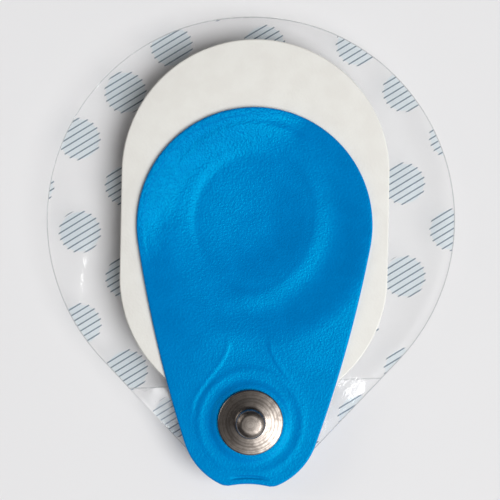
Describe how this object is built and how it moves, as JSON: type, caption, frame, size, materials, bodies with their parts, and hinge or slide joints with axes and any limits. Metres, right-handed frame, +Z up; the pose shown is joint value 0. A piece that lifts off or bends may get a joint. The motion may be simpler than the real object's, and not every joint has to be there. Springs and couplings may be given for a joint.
{
  "type": "ecg electrode",
  "caption": "Flat adhesive monitoring electrode: round-ended foam pad under a drop-shaped label with an offset metal snap stud, on a clear drop-shaped release liner.",
  "frame": {"origin": "centre of the liner blister's flat underside, on the axis of the gel well, where the part rests on a table", "axes": "+Y along the electrode's length, away from the connector tab, +Z up to the label side, +X across"},
  "size_m": [0.054, 0.0621, 0.0085],
  "materials": {
    "liner_film": "gloss",
    "pad_foam": "matte",
    "cup_plastic": "satin",
    "gel_foam": "satin",
    "sensor_coating": "matte",
    "strip_film": "matte",
    "backing_film": "satin",
    "label_sheet": "satin",
    "stud_plating": "polished",
    "eyelet_plating": "satin"
  },
  "bodies": {
    "root": {"release_liner": "liner_film", "foam_pad": "pad_foam", "gel_cup": "cup_plastic", "gel_sponge": "gel_foam", "sensor_disc": "sensor_coating", "lead_strip": "strip_film", "tab_backing": "backing_film", "top_label": "label_sheet", "snap_stud": "stud_plating", "snap_eyelet": "eyelet_plating"}
  },
  "joints": []
}
